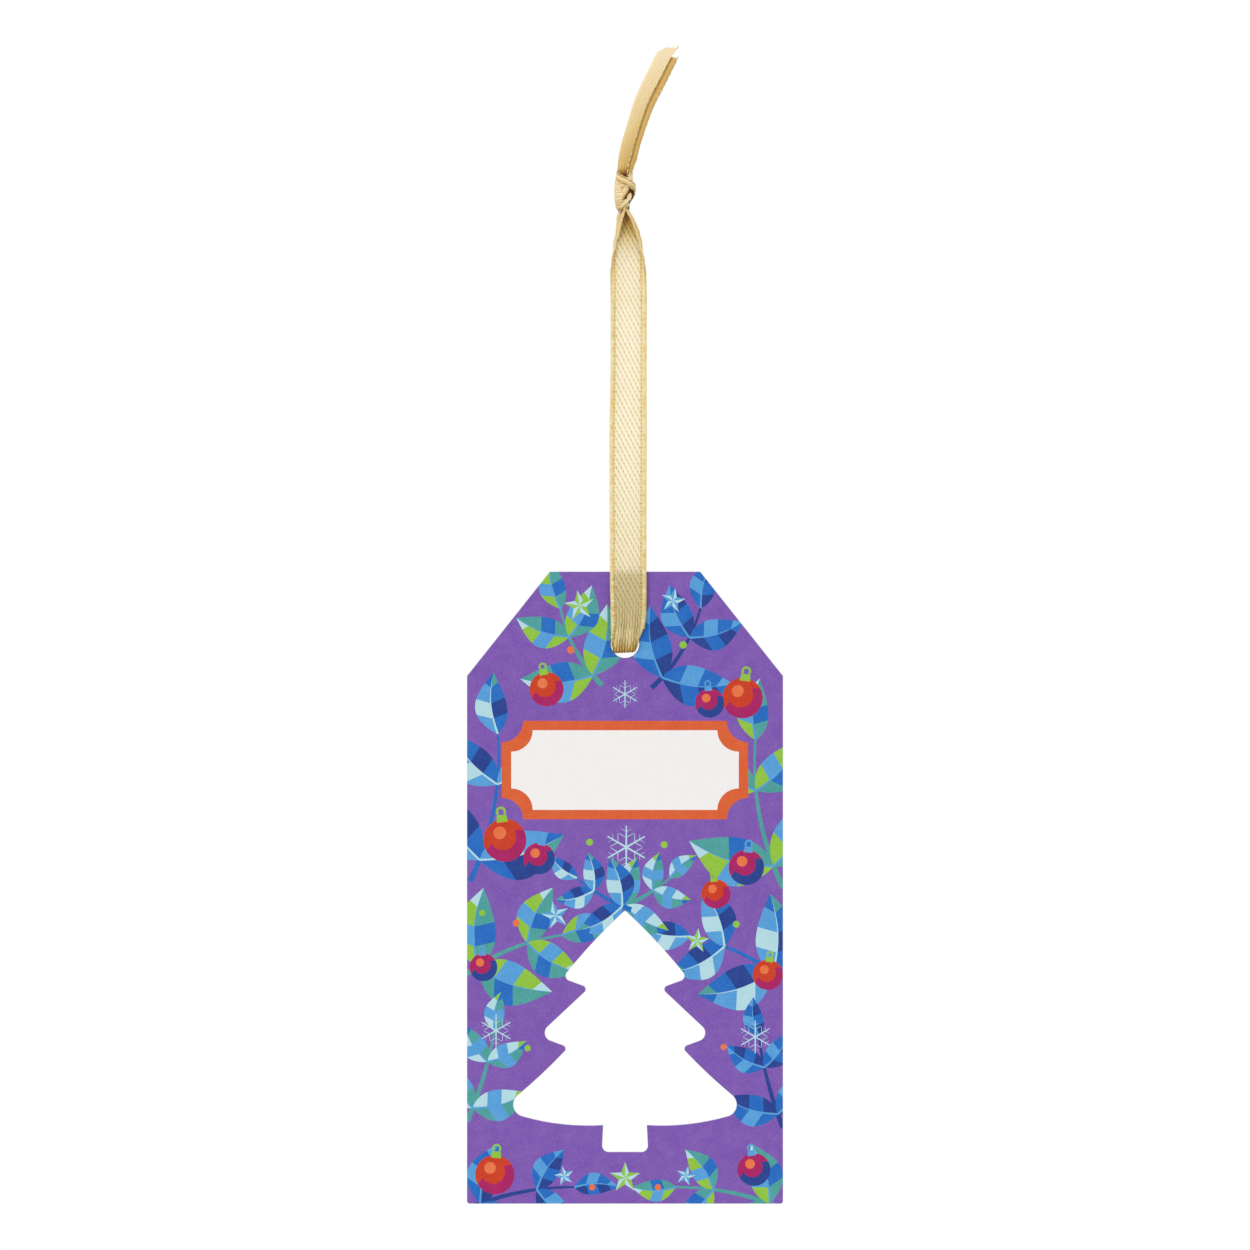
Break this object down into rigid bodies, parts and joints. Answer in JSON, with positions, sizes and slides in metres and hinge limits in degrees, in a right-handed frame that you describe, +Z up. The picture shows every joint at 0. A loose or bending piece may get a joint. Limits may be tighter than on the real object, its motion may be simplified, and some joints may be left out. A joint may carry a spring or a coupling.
{
  "type": "gift tag",
  "caption": "Printed card gift tag with bevelled shoulders and a tree-shaped window, hung on a loop of narrow satin ribbon tied in a knot with loose tails.",
  "frame": {"origin": "top of the ribbon's loop, right under the knot, where a hook or twig carries the hanging tag", "axes": "+Z up along the hanging tag, +X to the right of the printed face, -Y out of the printed face"},
  "size_m": [0.05, 0.0034, 0.183],
  "materials": {
    "printed_board": "printed matt-coated paper board with a white core",
    "satin_ribbon": "woven polyester satin with a beaded selvedge"
  },
  "bodies": {
    "knot": {"ribbon_knot": "satin_ribbon"},
    "loop": {"ribbon_front_neck": "satin_ribbon", "ribbon_back_neck": "satin_ribbon", "ribbon_front_leg": "satin_ribbon", "ribbon_back_leg": "satin_ribbon", "ribbon_front_fold": "satin_ribbon", "ribbon_back_fold": "satin_ribbon"},
    "saddle": {"ribbon_front_lap": "satin_ribbon", "ribbon_back_lap": "satin_ribbon", "ribbon_bight": "satin_ribbon"},
    "card": {"tag_card": "printed_board"},
    "front_tail": {"ribbon_front_tail": "satin_ribbon"},
    "back_tail": {"ribbon_back_tail": "satin_ribbon"}
  },
  "joints": [
    {"name": "ribbon_twist", "type": "hinge", "parent": "knot", "child": "loop", "pos_m": [0, 0, 0], "axis": [0, 0, 1], "range_deg": [-180, 180], "stiffness_Nm_per_rad": 0.000002, "deforming": ["ribbon_front_neck", "ribbon_back_neck"]},
    {"name": "ribbon_fold", "type": "hinge", "parent": "loop", "child": "saddle", "pos_m": [0, 0, -0.037], "axis": [1, 0, 0], "range_deg": [-150, 150], "deforming": ["ribbon_front_fold", "ribbon_back_fold"]},
    {"name": "card_swivel", "type": "hinge", "parent": "saddle", "child": "card", "pos_m": [0, 0, -0.0683], "axis": [0, 1, 0], "range_deg": [-90, 90]},
    {"name": "front_tail_bend", "type": "hinge", "parent": "knot", "child": "front_tail", "pos_m": [0, -0.0009, 0.006], "axis": [1, 0, 0], "range_deg": [0, 75], "stiffness_Nm_per_rad": 0.00002},
    {"name": "back_tail_bend", "type": "hinge", "parent": "knot", "child": "back_tail", "pos_m": [0, 0.0009, 0.006], "axis": [-1, 0, 0], "range_deg": [0, 75], "stiffness_Nm_per_rad": 0.00002}
  ]
}
